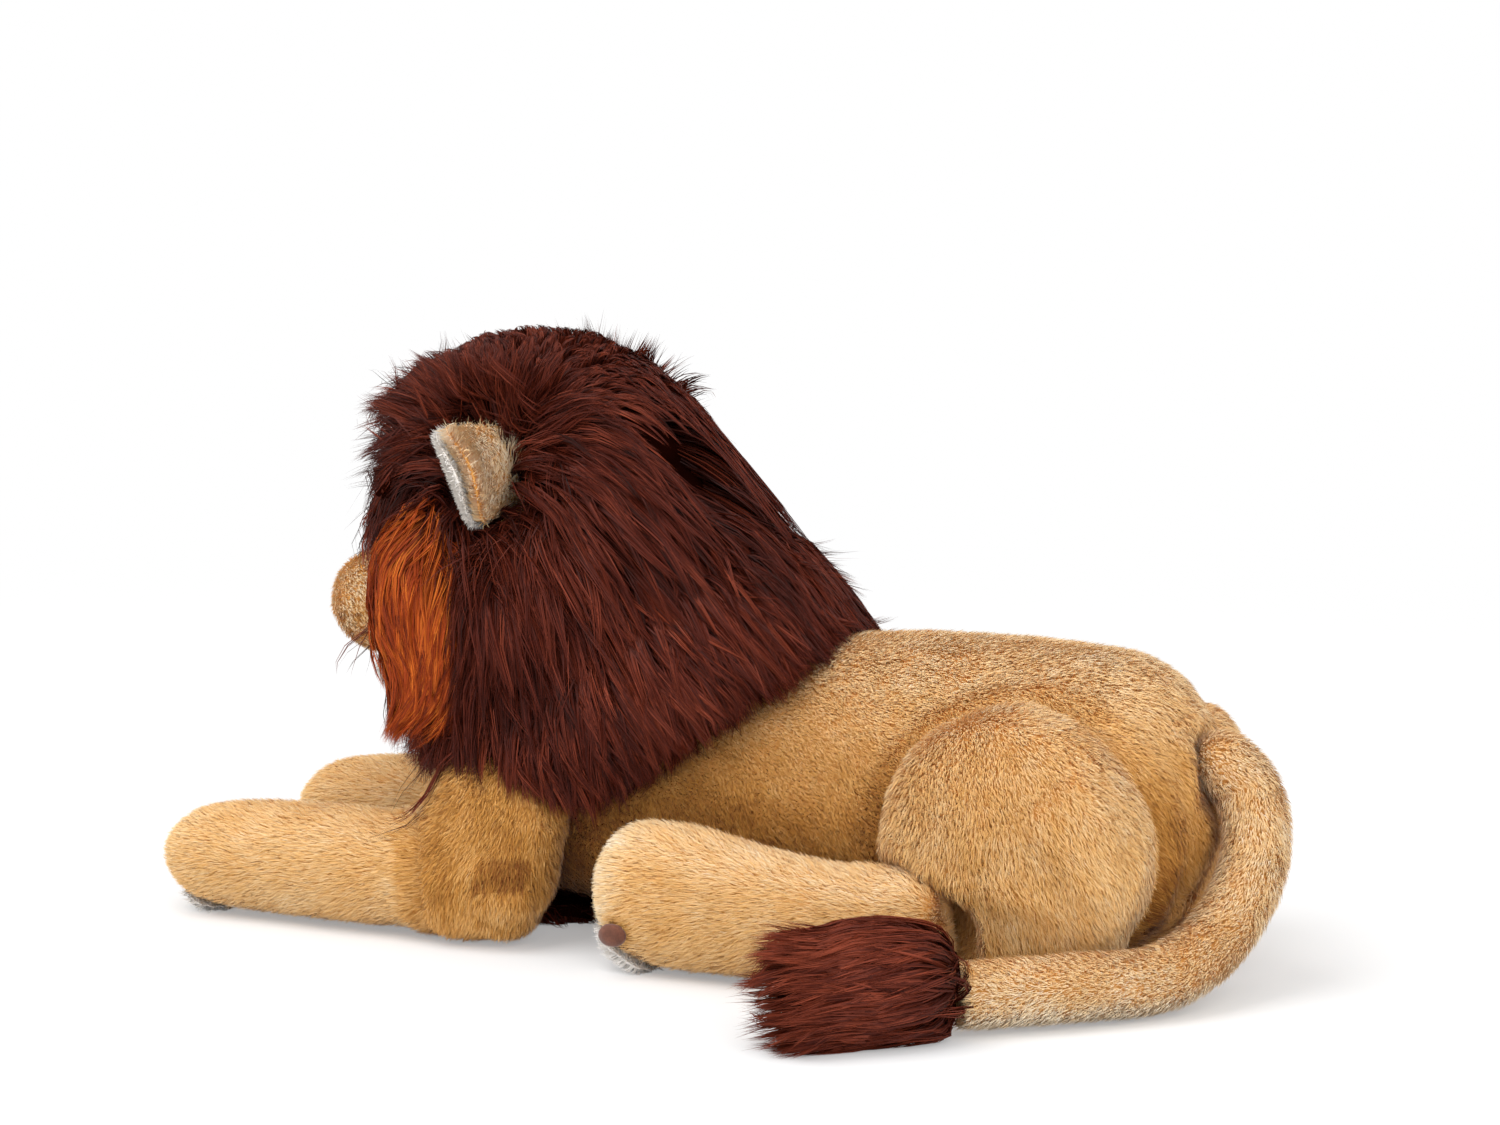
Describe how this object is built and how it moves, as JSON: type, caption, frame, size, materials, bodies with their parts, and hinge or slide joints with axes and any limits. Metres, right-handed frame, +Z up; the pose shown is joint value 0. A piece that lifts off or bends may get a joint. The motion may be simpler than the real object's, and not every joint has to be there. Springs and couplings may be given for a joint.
{
  "type": "plush lion",
  "caption": "Stuffed plush lion lying on its belly: long-pile mane, stretched forelegs, folded hind legs and a tail with a tuft curled to its left",
  "frame": {"origin": "centre of the bounding box, on the floor", "axes": "+X from the head to the tail, +Y to the lion's right side, +Z up"},
  "size_m": [0.473, 0.2826, 0.239],
  "materials": {
    "golden_pile": "matte",
    "light_pile": "matte",
    "white_pile": "matte",
    "mane_pile": "matte",
    "rust_pile": "matte",
    "suede": "matte",
    "eye_plastic": "gloss",
    "washer_plastic": "satin",
    "stuffing": "matte"
  },
  "bodies": {
    "torso": {"body_filling": "stuffing", "body_skin": "golden_pile", "chest_hair": "mane_pile", "mane_ruff": "mane_pile", "thigh_filling_left": "stuffing", "thigh_filling_right": "stuffing", "thigh_skin_left": "golden_pile", "thigh_skin_right": "golden_pile", "upper_foreleg_filling_left": "stuffing", "upper_foreleg_filling_right": "stuffing", "upper_foreleg_skin_left": "golden_pile", "upper_foreleg_skin_right": "golden_pile"},
    "head": {"cheek_hair_left": "rust_pile", "cheek_hair_right": "rust_pile", "chin": "white_pile", "eye_left": "eye_plastic", "eye_right": "eye_plastic", "eye_washer_left": "washer_plastic", "eye_washer_right": "washer_plastic", "head_filling": "stuffing", "head_skin": "golden_pile", "mane_crown": "mane_pile", "muzzle_pad_left": "golden_pile", "muzzle_pad_right": "golden_pile", "nose": "suede", "snout_gusset": "golden_pile"},
    "ear_left": {"ear_back_left": "golden_pile", "ear_lining_left": "white_pile"},
    "ear_right": {"ear_back_right": "golden_pile", "ear_lining_right": "white_pile"},
    "foreleg_left": {"foreleg_filling_left": "stuffing", "foreleg_skin_left": "golden_pile", "paw_sole_left": "white_pile"},
    "foreleg_right": {"foreleg_filling_right": "stuffing", "foreleg_skin_right": "golden_pile", "paw_sole_right": "white_pile"},
    "hind_foot_left": {"hind_foot_filling_left": "stuffing", "hind_foot_skin_left": "light_pile", "hind_foot_sole_left": "white_pile", "toe_patch_left": "suede"},
    "hind_foot_right": {"hind_foot_filling_right": "stuffing", "hind_foot_skin_right": "light_pile", "hind_foot_sole_right": "white_pile", "toe_patch_right": "suede"},
    "tail": {"tail_filling": "stuffing", "tail_skin": "golden_pile", "tail_tuft": "mane_pile"}
  },
  "joints": [
    {"name": "head_turn", "type": "hinge", "parent": "torso", "child": "head", "pos_m": [-0.0895, 0.03878, 0.15], "axis": [0, 0, 1], "range_deg": [-12, 12], "stiffness_Nm_per_rad": 0.6},
    {"name": "ear_fold_left", "type": "hinge", "parent": "head", "child": "ear_left", "pos_m": [-0.083, 0.00078, 0.191], "axis": [-0.4067, 0, 0.9135], "range_deg": [-18, 18], "stiffness_Nm_per_rad": 0.02},
    {"name": "ear_fold_right", "type": "hinge", "parent": "head", "child": "ear_right", "pos_m": [-0.083, 0.07678, 0.191], "axis": [-0.4067, 0, 0.9135], "range_deg": [-18, 18], "stiffness_Nm_per_rad": 0.02},
    {"name": "foreleg_lift_left", "type": "hinge", "parent": "torso", "child": "foreleg_left", "pos_m": [-0.0985, -0.01919, 0.0265], "axis": [0, 1, 0], "range_deg": [0, 12], "stiffness_Nm_per_rad": 0.25},
    {"name": "foreleg_lift_right", "type": "hinge", "parent": "torso", "child": "foreleg_right", "pos_m": [-0.0985, 0.09675, 0.0265], "axis": [0, 1, 0], "range_deg": [0, 12], "stiffness_Nm_per_rad": 0.25},
    {"name": "hind_foot_lift_left", "type": "hinge", "parent": "torso", "child": "hind_foot_left", "pos_m": [0.1095, -0.03822, 0.02598], "axis": [0, 1, 0], "range_deg": [0, 10], "stiffness_Nm_per_rad": 0.25},
    {"name": "hind_foot_lift_right", "type": "hinge", "parent": "torso", "child": "hind_foot_right", "pos_m": [0.1095, 0.11578, 0.02598], "axis": [0, 1, 0], "range_deg": [0, 10], "stiffness_Nm_per_rad": 0.25},
    {"name": "tail_swing", "type": "hinge", "parent": "torso", "child": "tail", "pos_m": [0.2035, 0.03878, 0.086], "axis": [0, 0, 1], "range_deg": [0, 45], "stiffness_Nm_per_rad": 0.08}
  ]
}
